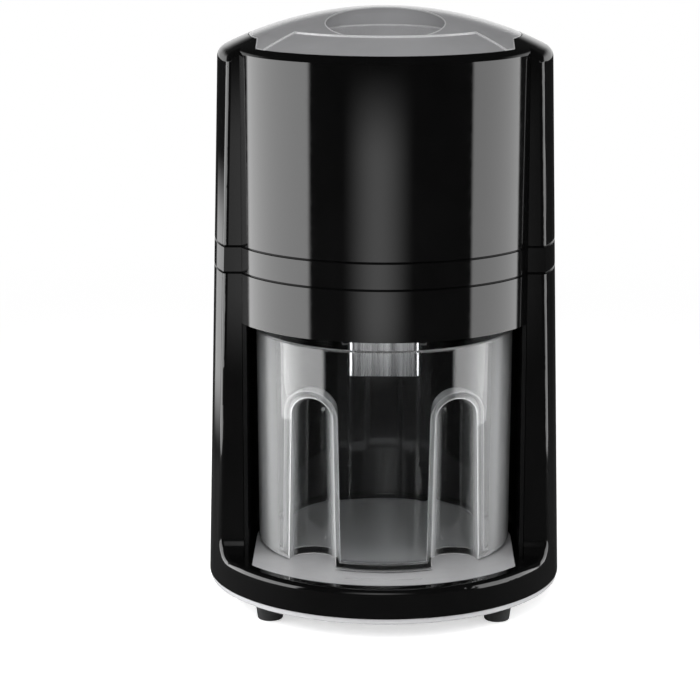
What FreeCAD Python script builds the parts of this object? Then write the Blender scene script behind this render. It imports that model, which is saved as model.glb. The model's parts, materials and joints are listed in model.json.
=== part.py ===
import FreeCAD, Part
import math
import os
import re

import Sketcher
from FreeCAD import Placement, Rotation, Vector

# Hand crank ice crusher.  +Z is up, the feet stand on z = 0, -Y is the front.
# The drum's axis is upright.  The origin is under the middle of the whole length, knob included.
# Every length is in millimetres.

os.makedirs("parts", exist_ok=True)
doc = FreeCAD.newDocument("IceCrusher")

# Driving dimensions: alias, value, meaning.
SIZES = (
    # housing
    ("overall_height", 250.0, "floor to the top of the lid"),
    ("base_radius", 75.0, "housing at its lower edge"),
    ("wall_draft", 0.025, "inward lean of the housing's side, mm per mm"),
    ("shell_wall", 2.5, "thickness of the moulded shells"),
    ("dome_radius", 149.0, "sphere of the shoulders and the lid"),
    ("shoulder_round", 5.0, "rounding between side and dome"),
    ("drum_inset", 10.0, "drum's front inside the base's radius"),
    ("drum_round", 3.3, "rounding of the drum's top edge"),
    ("cheek_plane", 27.5, "flat front faces, forward of the axis"),
    ("cheek_round", 2.6, "rounding of the cheeks' and the ring's outer edges"),
    ("cheek_angle", 70.0, "where the hollow behind the cheeks starts, degrees from the front"),
    ("seam_chamfer", 0.5, "bevel that draws each parting line"),
    ("seam_rise", 1.1, "lower parting line over the rear boss"),
    ("collar_height", 11.0, "band above that parting line"),
    ("spigot_gap", 0.35, "collar's spigot over the shaft"),
    ("ring_height", 12.2, "black ring over the base plate"),
    ("bay_corner", 8.0, "rounding where the cheeks meet the ring"),
    ("floor_thickness", 5.0, "floor of the lower housing"),
    # base
    ("foot_height", 7.3, "rubber foot"),
    ("foot_taper", 1.0, "foot, wider at the plate by"),
    ("foot_wall", 1.6, "rubber round the screw's recess"),
    ("foot_round", 0.7, "rounding of a foot's lower edge"),
    ("foot_inset", 10.5, "middle of a foot inside the base's radius"),
    ("foot_angle", 47.0, "feet, degrees from the front or the back"),
    ("foot_screw_room", 0.7, "recess wider than the screw's head"),
    ("foot_screw_sunk", 1.5, "screw's head above the floor"),
    ("plate_thickness", 2.5, "pale base plate"),
    ("plate_margin", 0.5, "plate inside the ring's edge"),
    ("plate_edge", 0.6, "rounding of the plate's edge"),
    ("plate_lip", 3.0, "height of the plate's locating ring"),
    ("base_boss_wall", 3.1, "wall of the bosses that take the base screws"),
    ("base_screw_cover", 1.6, "material over a base screw's tip"),
    # tray and bay
    ("rim_width", 6.5, "ring in front of the tray"),
    ("tray_thickness", 2.0, "tray"),
    ("tray_step", 0.2, "tray over the ring's top"),
    ("tray_ledge", 2.4, "ledge that carries the tray"),
    ("tray_margin", 2.3, "floor left bare between the tray and the bay's sides"),
    ("mark_inset", 7.0, "cup's mark behind the tray's front edge"),
    ("mark_angle", 30.0, "length of that mark, degrees"),
    ("mark_width", 0.9, "its width"),
    ("mark_depth", 0.5, "its depth"),
    ("bay_inset", 8.0, "inside of the cup bay within the drum's radius"),
    ("liner_wall", 1.9, "wall of the cup bay"),
    # cup
    ("cup_gap", 2.4, "room between cup and bay"),
    ("cup_taper", 0.8, "cup, narrower at the bottom by"),
    ("cup_height", 93.9, "cup"),
    ("cup_wall", 2.2, "wall of the cup"),
    ("cup_floor", 2.6, "floor of the cup"),
    ("cup_foot_round", 3.0, "rounding at the cup's bottom"),
    ("cup_rim_round", 0.8, "rounding of the rim"),
    ("cup_headroom", 5.9, "gap between rim and head"),
    ("flute_side", 24.2, "middle of a flute inside the cup's side"),
    ("flute_bite", 28.6, "back of a flute behind the cup's front"),
    ("flute_foot_radius", 9.8, "half width of a flute at the bottom"),
    ("flute_head_radius", 8.5, "half width of a flute under its arch"),
    ("flute_headroom", 21.5, "cup's wall above a flute's arch"),
    ("notch_side", 3.5, "room beside the chute in the slot of the cup's back"),
    ("notch_gap", 3.8, "room under the chute in that slot"),
    # chute and deck
    ("chute_inset", 0.5, "chute's mouth inside the crusher frame"),
    ("chute_neck", 5.5, "flared part of the chute under the deck"),
    ("chute_drop", 18.0, "straight part of the chute"),
    ("chute_flare", 4.5, "flare of the chute's mouth, each side"),
    ("chute_corner", 3.0, "corner radius of the chute"),
    ("sheet", 0.8, "steel sheet of the chute"),
    ("deck_thickness", 2.2, "deck under the mechanism"),
    ("deck_ledge", 1.5, "ledge that carries the deck"),
    # mechanism
    ("journal_radius", 3.95, "shaft in its bushes"),
    ("running_gap", 0.05, "radial clearance of the running fits"),
    ("bush_wall", 1.5, "wall of the bushes"),
    ("bush_flange", 1.6, "flange beyond the bush"),
    ("bush_flange_thickness", 1.4, "flange of a bush"),
    ("bush_room", 0.2, "deck to the flange of a bush"),
    ("hexagon", 8.0, "width of the shaft's hexagon over its flats"),
    ("hexagon_gap", 0.05, "clearance round the hexagon"),
    ("blade_radius", 16.5, "tips of the crushing teeth"),
    ("blade_root", 9.0, "root of the crushing teeth"),
    ("blade_thickness", 2.5, "crushing blade"),
    ("blade_pitch", 9.0, "blade to blade"),
    ("blade_end", 8.75, "frame's wall beyond the outermost blade"),
    ("tooth_tip", 2.2, "width of a tooth's flat tip"),
    ("tooth_foot", 7.0, "width of a tooth at its root"),
    ("tooth_lean", 2.0, "lead of the tip, which hooks the ice"),
    ("tooth_hook", 2.6, "hollow behind the tip, over the root"),
    ("tooth_bite", 1.6, "tooth sunk into the disc"),
    ("spacer_wall", 1.83, "tubes between the blades, round the hexagon's corners"),
    ("frame_wall", 3.5, "wall of the crusher frame"),
    ("frame_rim", 5.0, "crusher frame over the blades"),
    ("frame_foot", 3.0, "flange of the crusher frame"),
    ("frame_lug", 6.5, "flange beyond the frame's sides"),
    ("frame_corner", 2.5, "rounding of the frame's upright edges"),
    ("frame_hole_inset", 3.4, "screws from the flange's edge"),
    ("comb_gap", 0.7, "blade tips to the comb's spine"),
    ("comb_back", 2.8, "thickness of the comb's spine"),
    ("comb_drop", 1.0, "fingers' lower face over the axis"),
    ("comb_depth", 4.0, "height of the fingers"),
    ("finger_side", 1.5, "finger to blade"),
    ("finger_end", 0.9, "finger to spacer"),
    ("finger_taper", 0.6, "finger, narrower at its tip by twice this"),
    ("screw_radius", 1.5, "shank of the small screws"),
    ("screw_head", 2.9, "head radius of the small screws"),
    ("screw_head_height", 1.9, "head height of the small screws"),
    ("screw_gap", 0.08, "clearance round a screw's shank"),
    ("screw_short", 0.3, "screw's tip short of the far face"),
    ("seal_wall", 3.6, "shaft seal round the shaft"),
    ("seal_width", 3.0, "length of the shaft seal"),
    ("boss_wall", 1.6, "rear boss of the housing, round the seal"),
    ("boss_stand", 3.6, "boss's face beyond the housing's side"),
    ("boss_gap", 0.5, "inner end of the boss to the collar's spigot"),
    ("washer_width", 4.0, "thrust washer"),
    ("washer_thickness", 0.8, "thrust washer"),
    ("shaft_nose", 1.8, "shaft beyond the retaining ring"),
    ("clip_width", 2.4, "retaining ring beyond the shaft"),
    ("clip_thickness", 0.8, "retaining ring"),
    ("clip_slot", 3.2, "opening of the retaining ring"),
    ("groove_depth", 0.85, "groove of the retaining ring"),
    # crank
    ("end_gap", 0.2, "endways play beside each stop"),
    ("crank_throw", 82.0, "shaft to knob"),
    ("arm_thickness", 7.5, "crank arm"),
    ("arm_hub", 12.5, "hub of the crank arm"),
    ("arm_tip", 9.5, "outer end of the crank arm"),
    ("arm_round", 2.2, "rounding of the crank arm's outer edge"),
    ("square_gap", 0.05, "clearance round the square"),
    ("insert_radius", 7.0, "metal insert in the hub"),
    ("tap_radius", 2.0, "screw in the shaft's end"),
    ("tap_depth", 9.0, "length of that screw"),
    ("bolt_inset", 1.0, "head of that screw inside the insert's edge"),
    ("bolt_rim", 1.0, "height of the head's edge"),
    ("bolt_dome", 1.6, "its crown above the edge"),
    ("axle_radius", 3.0, "knob's axle"),
    ("axle_head_rim", 2.0, "head of the axle round its shank"),
    ("axle_head_height", 1.6, "head of the axle"),
    ("cap_room", 0.2, "head of the axle to the cap"),
    ("knob_length", 36.0, "knob"),
    ("knob_neck", 8.2, "knob beside the arm"),
    ("knob_belly", 12.6, "knob at its widest"),
    ("knob_end", 10.4, "knob's outer end"),
    ("knob_belly_at", 22.3, "widest place, from the arm"),
    ("knob_swell", 58.0, "curve from neck to belly"),
    ("knob_fall", 20.0, "curve from belly to the outer end"),
    ("cap_thickness", 1.4, "knob's end cap"),
    ("cap_bevel", 0.8, "edge of the cap"),
    # upper housing, hopper and lid
    ("mouth_inset", 9.0, "inside of the hopper within the drum's bore"),
    ("hopper_wall", 1.8, "wall of the hopper"),
    ("hopper_slope", 50.2, "height of the hopper's narrowing part"),
    ("throat_side", 2.0, "slot in the hopper's floor inside the crusher frame"),
    ("throat_end", 1.5, "the same, along the shaft"),
    ("throat_margin", 2.0, "floor beyond the slot's corners"),
    ("lid_overlap", 2.8, "lid beyond the hopper's mouth"),
    ("lip_inset", 2.3, "front edge of the lid within the drum's radius"),
    ("lip_half_width", 51.9, "half width of the lid's front lip"),
    ("lip_corner", 3.0, "rounding of the lip's front corners"),
    ("lid_gap", 0.3, "gap round the lid"),
    ("lid_wall", 2.5, "thickness of the lid"),
    ("skirt_height", 9.0, "skirt below the lid's inside"),
    ("seal_band", 0.6, "thickness of the lid's seal"),
    ("seal_band_height", 4.0, "height of the lid's seal"),
    ("well_radius", 24.0, "finger well in the lid"),
    ("well_inset", 0.1, "well's wall inside the skirt's outer face"),
    ("well_floor", 7.5, "floor of the well below the lid's top"),
    ("panel_length", 9.3, "front panel, inward from the lid's edge"),
    ("panel_angle", 51.0, "front panel, degrees to each side"),
    ("panel_depth", 0.6, "depth of the front panel"),
    # fits
    ("seat_gap", 0.3, "gap between neighbouring curved pieces"),
    ("slip", 0.25, "clearance of pieces that drop into each other"),
)
BLADES = 5

# Sizes and levels that follow from others.
FOLLOWING = {
    # levels, from the floor up
    "ring_bottom": "foot_height + plate_thickness",
    "rim_top": "ring_bottom + ring_height",
    "floor_bottom": "rim_top - floor_thickness",
    "tray_top": "rim_top + tray_step",
    "tray_bottom": "tray_top - tray_thickness",
    "cup_top": "tray_top + cup_height",
    "head_bottom": "cup_top + cup_headroom",
    "deck_bottom": "head_bottom + deck_ledge",
    "deck_top": "deck_bottom + deck_thickness",
    "frame_bottom": "deck_top + sheet",
    "axis_level": "deck_top + bush_room + bush_flange + bush_outer",
    "frame_top": "axis_level + blade_radius + frame_rim",
    "seam_level": "axis_level + boss_radius + seam_rise",
    "collar_top": "seam_level + collar_height",
    "dome_middle": "overall_height - dome_radius",
    "chute_bend": "deck_bottom - chute_neck",
    "chute_bottom": "chute_bend - chute_drop",
    "comb_bottom": "axis_level + comb_drop",
    "comb_screw_level": "comb_bottom + comb_depth / 2",
    "crank_level": "axis_level - crank_throw",
    "hopper_floor": "frame_top + seat_gap",
    "hopper_knee": "hopper_floor + hopper_slope",
    # radii and half widths, from the outside in
    "drum_radius": "base_radius - drum_inset",
    "head_bore": "drum_radius - shell_wall",
    "under_radius": "base_radius - 2 * shell_wall",
    "liner_half_width": "drum_radius - bay_inset",
    "liner_outer": "liner_half_width + liner_wall",
    "tray_half_width": "liner_half_width - tray_margin",
    "tray_radius": "base_radius - rim_width",
    "mark_radius": "tray_radius - mark_inset",
    "cup_rim_radius": "liner_half_width - cup_gap",
    "cup_foot_radius": "cup_rim_radius - cup_taper",
    "flute_height": "cup_height - flute_headroom",
    "flute_depth": "cup_foot_radius - flute_bite",
    "flute_offset": "cup_foot_radius - flute_side",
    "notch_half_width": "chute_half_width + notch_side",
    "notch_depth": "cup_top - chute_bottom + notch_gap",
    "hopper_flange": "head_bore - seat_gap",
    "hopper_mouth": "head_bore - mouth_inset",
    "lid_radius": "hopper_mouth + lid_overlap",
    "lip_radius": "drum_radius - lip_inset",
    "skirt_radius": "hopper_mouth - seat_gap - seal_band",
    "panel_inner": "lid_radius - panel_length",
    "well_forward": "skirt_radius - well_inset - lid_wall - well_radius",
    "throat_half_width": "frame_half_width - throat_side",
    "throat_half_length": "frame_half_length - throat_end",
    "hopper_throat": "sqrt(throat_half_width^2 + throat_half_length^2) + throat_margin",
    "foot_circle": "base_radius - foot_inset",
    "foot_recess": "screw_head + foot_screw_room",
    "foot_tip": "foot_recess + foot_wall",
    "foot_top": "foot_tip + foot_taper",
    "foot_recess_depth": "screw_head_height + foot_screw_sunk",
    "base_screw_length": "floor_bottom - foot_recess_depth - base_screw_cover",
    "foot_screw_tip": "foot_recess_depth + base_screw_length",
    "screw_hole": "screw_radius + screw_gap",
    "base_boss": "screw_radius + base_boss_wall",
    # mechanism
    "bore_radius": "journal_radius + running_gap",
    "bush_outer": "bore_radius + bush_wall",
    "seal_radius": "bore_radius + seal_wall",
    "boss_radius": "seal_radius + boss_wall",
    "spigot_height": "boss_radius + seam_rise - journal_radius - spigot_gap",
    "spacer_bore": "hexagon / sqrt(3) + hexagon_gap",
    "spacer_radius": "spacer_bore + spacer_wall",
    "blade_reach": f"{(BLADES - 1) / 2} * blade_pitch + blade_thickness / 2",
    "frame_half_width": "blade_radius + comb_gap + comb_back",
    "frame_half_length": "blade_reach + blade_end",
    "frame_outer_width": "frame_half_width + frame_wall",
    "frame_outer_length": "frame_half_length + frame_wall",
    "bush_face": "frame_outer_length + bush_flange_thickness",
    "chute_half_width": "frame_half_width - chute_inset - chute_flare",
    "chute_half_length": "frame_half_length",
    "comb_reach": "spacer_radius + finger_end",
    "comb_half_length": f"{(BLADES - 1) / 2} * blade_pitch + finger_width",
    "comb_screw_y": f"{(BLADES - 1) / 2} * blade_pitch",
    "finger_width": "blade_pitch - blade_thickness - 2 * finger_side",
    "groove_radius": "journal_radius - groove_depth",
    "clip_radius": "journal_radius + clip_width",
    "washer_radius": "bore_radius + washer_width",
    "square": "sqrt(2) * (journal_radius - running_gap)",
    # along the shaft, from the drum's axis backward
    "boss_face": "base_radius - wall_draft * (axis_level - ring_bottom) + boss_stand",
    "boss_start": "head_bore + boss_gap",
    "washer_start": "boss_face + end_gap",
    "arm_start": "washer_start + washer_thickness",
    "arm_end": "arm_start + arm_thickness",
    "knob_start": "arm_end + end_gap",
    "rear_reach": "knob_start + knob_length",
    "axis_y": "(base_radius - rear_reach) / 2",
    # crank
    "bolt_head": "insert_radius - bolt_inset",
    "axle_head": "axle_radius + axle_head_rim",
    "axle_neck": "arm_thickness + end_gap + knob_length - cap_thickness - cap_room - 2 * axle_head_height",
}

sheet = doc.addObject("Spreadsheet::Sheet", "Sizes")
for row, (alias, number, meaning) in enumerate(SIZES, start=1):
    sheet.set(f"A{row}", meaning)
    sheet.set(f"B{row}", str(number))
    sheet.setAlias(f"B{row}", alias)
doc.recompute()
ALIASES = {alias for alias, _number, _meaning in SIZES}


def bound(text):
    """The expression with every name written out as cells of the sheet."""

    def written_out(word):
        name = word[0]
        if name in FOLLOWING:
            return "(" + bound(FOLLOWING[name]) + ")"
        return "Sizes." + name if name in ALIASES else name

    return re.sub(r"[a-z_]+", written_out, str(text))


def value(text):
    """What an expression comes to now, in millimetres or degrees."""
    result = sheet.evalExpression(bound(text))
    return float(getattr(result, "Value", result))


def side_radius(level):
    """Outside radius of the leaning side at a level."""
    return f"(base_radius - wall_draft * ({level} - ring_bottom))"


def dome_height(radius, inward="0"):
    """Level of the dome, or of a sphere inside it, at a distance from the axis."""
    return f"(dome_middle + sqrt((dome_radius - {inward})^2 - ({radius})^2))"


PIECES = {}


# ---------------------------------------------------------------- sketch and feature helpers


def keep(name, thing, turn=None, x="0", y="0", z="0"):
    """Names a sub-part and puts it beside the drum's axis."""
    thing.Label = name
    thing.Placement = Placement(Vector(), turn or Rotation())
    thing.setExpression("Placement.Base.x", bound(x))
    thing.setExpression("Placement.Base.y", bound(f"axis_y + {y}"))
    thing.setExpression("Placement.Base.z", bound(z))
    PIECES[name] = thing
    return thing


ALONG_SHAFT = Rotation(Vector(1, 0, 0), -90)


def new_body(name):
    return doc.addObject("PartDesign::Body", "Body_" + name)


def sketch_on(body, role, lift="0"):
    """A sketch on one of the body's own origin planes, moved along the plane's normal."""
    sketch = body.newObject("Sketcher::SketchObject", "Sketch")
    plane = [feature for feature in body.Origin.OriginFeatures if feature.Role == role][0]
    sketch.AttachmentSupport = (plane, [""])
    sketch.MapMode = "FlatFace"
    sketch.setExpression("AttachmentOffset.Base.z", bound(lift))
    return sketch


def hold_one(sketch, geometry, point, kind, axis, text):
    """Ties one coordinate of a vertex."""
    if str(text) == "0":
        sketch.addConstraint(Sketcher.Constraint("PointOnObject", geometry, point, axis))
        return
    index = sketch.addConstraint(Sketcher.Constraint(kind, -1, 1, geometry, point, value(text)))
    sketch.setExpression(f"Constraints[{index}]", bound(text))


def hold(sketch, geometry, point, x, y):
    """Ties a vertex to its coordinates."""
    hold_one(sketch, geometry, point, "DistanceX", -2, x)
    hold_one(sketch, geometry, point, "DistanceY", -1, y)


def outline(sketch, corners, arcs=None):
    """A closed outline.  arcs gives a side's radius, negative where it turns clockwise."""
    arcs = arcs or {}
    points = [Vector(value(x), value(y), 0) for x, y in corners]
    ends = []
    for side, start in enumerate(points):
        end = points[(side + 1) % len(points)]
        if side not in arcs:
            index = sketch.addGeometry(Part.LineSegment(start, end), False)
            ends.append((index, 1, 2))
            continue
        radius = value(arcs[side])
        chord = end - start
        across = Vector(-chord.y, chord.x, 0).normalize()
        rise = math.sqrt(max(radius * radius - chord.Length * chord.Length / 4, 0))
        centre = (start + end) * 0.5 + across * math.copysign(rise, radius)
        first = math.atan2(start.y - centre.y, start.x - centre.x)
        last = math.atan2(end.y - centre.y, end.x - centre.x)
        circle = Part.Circle(centre, Vector(0, 0, 1), abs(radius))
        forward = radius > 0
        span = (first, last) if forward else (last, first)
        index = sketch.addGeometry(Part.ArcOfCircle(circle, *span), False)
        ends.append((index, 1, 2) if forward else (index, 2, 1))
    for side, (index, _start, end) in enumerate(ends):
        following = ends[(side + 1) % len(ends)]
        sketch.addConstraint(Sketcher.Constraint("Coincident", index, end, following[0], following[1]))
    for side, (x, y) in enumerate(corners):
        hold(sketch, ends[side][0], ends[side][1], x, y)
    for side, text in arcs.items():
        radius = abs(value(text))
        chord = points[(side + 1) % len(points)] - points[side]
        if abs(chord.Length - 2 * radius) < 1e-6:
            # half a circle: its centre stays level with its ends
            hold_one(sketch, ends[side][0], 3, "DistanceY", -1, corners[side][1])
            continue
        constraint = sketch.addConstraint(Sketcher.Constraint("Radius", ends[side][0], radius))
        sketch.setExpression(f"Constraints[{constraint}]", bound(f"abs({text})"))
    return sketch


def circle(sketch, radius, x="0", y="0"):
    centre = Vector(value(x), value(y), 0)
    index = sketch.addGeometry(Part.Circle(centre, Vector(0, 0, 1), value(radius)), False)
    hold(sketch, index, 3, x, y)
    constraint = sketch.addConstraint(Sketcher.Constraint("Radius", index, value(radius)))
    sketch.setExpression(f"Constraints[{constraint}]", bound(radius))
    return sketch


def rectangle(sketch, half_x, half_y, x="0", y="0"):
    corners = (
        (f"{x} - {half_x}", f"{y} - {half_y}"),
        (f"{x} + {half_x}", f"{y} - {half_y}"),
        (f"{x} + {half_x}", f"{y} + {half_y}"),
        (f"{x} - {half_x}", f"{y} + {half_y}"),
    )
    return outline(sketch, corners)


def feature(body, kind, sketch, **settings):
    """A sketch-based feature.  Text settings are expressions, the rest are plain properties."""
    made = body.newObject("PartDesign::" + kind, kind)
    made.Profile = sketch
    for name, setting in settings.items():
        if isinstance(setting, str) and name in ("Length", "Angle"):
            made.setExpression(name, bound(setting))
        else:
            setattr(made, name, setting)
    body.Tip = made
    doc.recompute()
    assert "Invalid" not in sketch.State, f"{body.Name}: {sketch.Name} can't be solved"
    assert "Invalid" not in made.State, f"{body.Name}: {made.Name} failed"
    return made


def pad(body, sketch, length, down=False, both=False):
    side = "Symmetric" if both else "One side"
    return feature(body, "Pad", sketch, SideType=side, Length=length, Reversed=down)


def pocket(body, sketch, length, up=False, both=False):
    """Cuts below the sketch, or above it where up is set; the volume has to shrink."""
    before = body.Shape.Volume
    side = "Symmetric" if both else "One side"
    cut = feature(body, "Pocket", sketch, SideType=side, Length=length, Reversed=up)
    assert cut.Shape.Volume < before - 1e-3, f"{body.Name}: a pocket cuts nothing"
    return cut


def revolve(body, sketch, angle="360"):
    """A solid turned about the sketch's upright axis."""
    axis = (sketch, ["V_Axis"])
    return feature(body, "Revolution", sketch, ReferenceAxis=axis, Midplane=angle != "360", Angle=angle)


def groove(body, sketch, angle="360"):
    """A turned cut, centred on the sketch's plane where it isn't a full turn."""
    before = body.Shape.Volume
    axis = (sketch, ["V_Axis"])
    cut = feature(body, "Groove", sketch, ReferenceAxis=axis, Midplane=angle != "360", Angle=angle)
    assert cut.Shape.Volume < before - 1e-3, f"{body.Name}: a groove cuts nothing"
    return cut


def round_edges(body, test, radius, kind="Fillet"):
    """Rounds or bevels the edges that the test picks."""
    base = body.Tip
    names = [f"Edge{index}" for index, edge in enumerate(base.Shape.Edges, start=1) if test(edge)]
    assert names, f"{body.Name}: no edge to round"
    made = body.newObject("PartDesign::" + kind, kind)
    made.Base = (base, names)
    made.setExpression("Radius" if kind == "Fillet" else "Size", bound(radius))
    body.Tip = made
    doc.recompute()
    assert "Invalid" not in made.State, f"{body.Name}: rounding {radius} failed on {names}"
    return made


def at_level(edge, level, slack=0.02):
    """Whether an edge lies flat at a level."""
    box = edge.BoundBox
    return abs(box.ZMin - level) < slack and abs(box.ZMax - level) < slack


def middle_of(edge):
    return edge.valueAt((edge.FirstParameter + edge.LastParameter) / 2)


def distance_from_axis(edge):
    middle = middle_of(edge)
    return math.hypot(middle.x, middle.y)


def tube(name, outer, inner, length):
    """A plain ring about Z from z = 0."""
    body = new_body(name)
    sketch = sketch_on(body, "XY_Plane")
    circle(sketch, outer)
    circle(sketch, inner)
    pad(body, sketch, length)
    return body


# ---------------------------------------------------------------- housings


def leaning_side(body, low, high):
    """The round, leaning outside of a housing between two levels, solid."""
    sketch = sketch_on(body, "XZ_Plane")
    corners = (("0", low), (side_radius(low), low), (side_radius(high), high), ("0", high))
    revolve(body, outline(sketch, corners))


def cut_front(body, low, high):
    """Cuts the housing back to the plane of the cheeks."""
    sketch = sketch_on(body, "XY_Plane", low)
    front = "(base_radius + 10)"
    corners = (
        (f"-{front}", f"-{front}"),
        (front, f"-{front}"),
        (front, "-cheek_plane"),
        (f"-{front}", "-cheek_plane"),
    )
    pocket(body, outline(sketch, corners), f"{high} - {low}", up=True)


def drum(body, low, high):
    """The drum's front, solid, between two levels."""
    pad(body, circle(sketch_on(body, "XY_Plane", low), "drum_radius"), f"{high} - {low}")


def hollow_behind(body, low, high, inner="0"):
    """Hollows the housing behind the cheeks, with the leaning side left as a wall."""
    sketch = sketch_on(body, "YZ_Plane")
    corners = (
        (inner, low),
        (f"{side_radius(low)} - shell_wall", low),
        (f"{side_radius(high)} - shell_wall", high),
        (inner, high),
    )
    groove(body, outline(sketch, corners), "360 - 2 * cheek_angle")


def bevel_parting_line(body, level):
    """Bevels the outer edges at a parting line, round the side, the cheeks and the drum."""
    number = value(level)
    side = value(side_radius(level)) - value("shell_wall") / 2
    front = value("drum_radius") - 0.05

    def outer(edge):
        ahead = middle_of(edge).y < -value("cheek_plane") + 0.05
        reach = distance_from_axis(edge)
        return at_level(edge, number) and (reach > side or ahead and reach > front)

    round_edges(body, outer, "seam_chamfer", "Chamfer")


def bay_plan(sketch, half_width, front):
    """Round at the back, straight at the sides, open to a front line."""
    corners = (
        (half_width, f"-{front}"), (half_width, "0"), (f"-{half_width}", "0"), (f"-{half_width}", f"-{front}")
    )
    return outline(sketch, corners, {1: half_width})


def tray_plan(sketch, grow):
    """Round at the back, straight at the sides, and round again at the front."""
    half_width = f"(tray_half_width + {grow})"
    radius = f"(tray_radius + {grow})"
    front = f"sqrt({radius}^2 - {half_width}^2)"
    corners = (
        (half_width, f"-{front}"), (half_width, "0"), (f"-{half_width}", "0"), (f"-{half_width}", f"-{front}")
    )
    return outline(sketch, corners, {1: half_width, 3: radius})


def make_lower_housing():
    body = new_body("lower_housing")
    leaning_side(body, "ring_bottom", "seam_level")
    # The front is cut back in one sweep: down the cheeks, round the corner and over the ring.
    front = "(base_radius + 10)"
    sketch = sketch_on(body, "YZ_Plane")
    corners = (
        ("-cheek_plane", "seam_level + 1"),
        (f"-{front}", "seam_level + 1"),
        (f"-{front}", "rim_top"),
        ("-(cheek_plane + bay_corner)", "rim_top"),
        ("-cheek_plane", "rim_top + bay_corner"),
    )
    outline(sketch, corners, {3: "bay_corner"})
    pocket(body, sketch, f"2 * {front}", both=True)
    drum(body, "head_bottom", "seam_level")
    # cup bay, head and the floor's opening
    bay = bay_plan(sketch_on(body, "XY_Plane", "rim_top"), "liner_outer", "(cheek_plane + 20)")
    pocket(body, bay, "head_bottom - rim_top", up=True)
    head = circle(sketch_on(body, "XY_Plane", "deck_bottom"), "head_bore")
    pocket(body, head, "seam_level - deck_bottom", up=True)
    ledge = circle(sketch_on(body, "XY_Plane", "head_bottom"), "head_bore - deck_ledge")
    pocket(body, ledge, "deck_ledge", up=True)
    hollow_behind(body, "rim_top", "seam_level")
    pocket(body, tray_plan(sketch_on(body, "XY_Plane", "rim_top"), "slip"), "rim_top - tray_bottom")
    opening = tray_plan(sketch_on(body, "XY_Plane", "tray_bottom"), "(-tray_ledge)")
    pocket(body, opening, "tray_bottom - floor_bottom")
    # hollow ring under the floor, with the bosses of the base screws
    under = circle(sketch_on(body, "XY_Plane", "ring_bottom"), "under_radius")
    pocket(body, under, "floor_bottom - ring_bottom", up=True)
    bosses = sketch_on(body, "XY_Plane", "ring_bottom + plate_lip")
    for x, y in foot_places():
        circle(bosses, "base_boss", x, y)
    pad(body, bosses, "floor_bottom - ring_bottom - plate_lip")
    holes = sketch_on(body, "XY_Plane", "ring_bottom")
    for x, y in foot_places():
        circle(holes, "screw_hole", x, y)
    pocket(body, holes, "foot_screw_tip - ring_bottom + screw_short", up=True)
    # rear boss for the rotor's outer bush
    boss = sketch_on(body, "XZ_Plane", "-boss_face")
    pad(body, circle(boss, "boss_radius", "0", "axis_level"), "boss_face - boss_start")
    bore = sketch_on(body, "XZ_Plane", "-boss_face")
    circle(bore, "bush_outer", "0", "axis_level")
    pocket(body, bore, "boss_face - boss_start", up=True)
    seat = sketch_on(body, "XZ_Plane", "-boss_start")
    circle(seat, "seal_radius", "0", "axis_level")
    pocket(body, seat, "seal_width")
    soften_lower_housing(body)
    return keep("lower_housing", body)


def soften_lower_housing(body):
    """Rounds the ring's top together with the cheeks' outer edges, and bevels the parting line."""

    half_height = value("seam_level - rim_top") / 2
    outside = value(side_radius("seam_level"))

    def cheek_edge(edge):
        on_plane = abs(middle_of(edge).y + value("cheek_plane")) < 0.05
        return on_plane and distance_from_axis(edge) > outside and edge.BoundBox.ZLength > half_height

    round_edges(body, cheek_edge, "cheek_round")
    bevel_parting_line(body, "seam_level")


def foot_places():
    """Plan positions of the four feet."""
    x = "foot_circle * sin(foot_angle * 1 deg)"
    y = "foot_circle * cos(foot_angle * 1 deg)"
    return ((f"-{x}", f"-{y}"), (x, f"-{y}"), (f"-{x}", y), (x, y))


def make_collar_ring():
    body = new_body("collar_ring")
    leaning_side(body, "seam_level", "collar_top")
    cut_front(body, "seam_level", "collar_top")
    drum(body, "seam_level", "collar_top")
    # a web closes the ring's underside and carries the spigot that drops into the lower housing
    web_top = "(seam_level + shell_wall)"
    inner = "(head_bore - slip - shell_wall)"
    pocket(body, circle(sketch_on(body, "XY_Plane", "seam_level"), inner), "collar_height", up=True)
    core = circle(sketch_on(body, "XY_Plane", web_top), "head_bore")
    pocket(body, core, f"collar_top - {web_top}", up=True)
    hollow_behind(body, web_top, "collar_top")
    spigot = sketch_on(body, "XY_Plane", web_top)
    circle(spigot, "head_bore - slip")
    circle(spigot, inner)
    pad(body, spigot, "spigot_height + shell_wall", down=True)
    bevel_parting_line(body, "seam_level")
    bevel_parting_line(body, "collar_top")
    return keep("collar_ring", body)


def lid_plan(sketch, grow="0"):
    """Round, with a lip in front whose sides run straight forward."""
    side = f"(lip_half_width + {grow})"
    round_part = f"(lid_radius + {grow})"
    front = f"(lip_radius + {grow})"
    start = f"-sqrt({round_part}^2 - {side}^2)"
    end = f"-sqrt({front}^2 - {side}^2)"
    corners = ((side, end), (side, start), ("0", round_part), (f"-{side}", start), (f"-{side}", end))
    return outline(sketch, corners, {1: round_part, 2: round_part, 4: front})


def round_lip(body, grow="0"):
    """Rounds the upright edges at the lip's two front corners."""
    side = value(f"lip_half_width + {grow}")
    front = value(f"sqrt((lip_radius + {grow})^2 - (lip_half_width + {grow})^2)")

    def lip_edge(edge):
        box = edge.BoundBox
        upright = max(box.XLength, box.YLength) < 0.01 < box.ZLength
        return upright and abs(abs(box.Center.x) - side) < 0.05 and abs(box.Center.y + front) < 0.05

    round_edges(body, lip_edge, f"lip_corner + {grow}")


def lid_opening(body, sketch_level, depth):
    """The hole for the lid and its lip, cut down through the dome."""
    pocket(body, lid_plan(sketch_on(body, "XY_Plane", sketch_level), "lid_gap"), depth)
    round_lip(body, "lid_gap")


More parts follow.
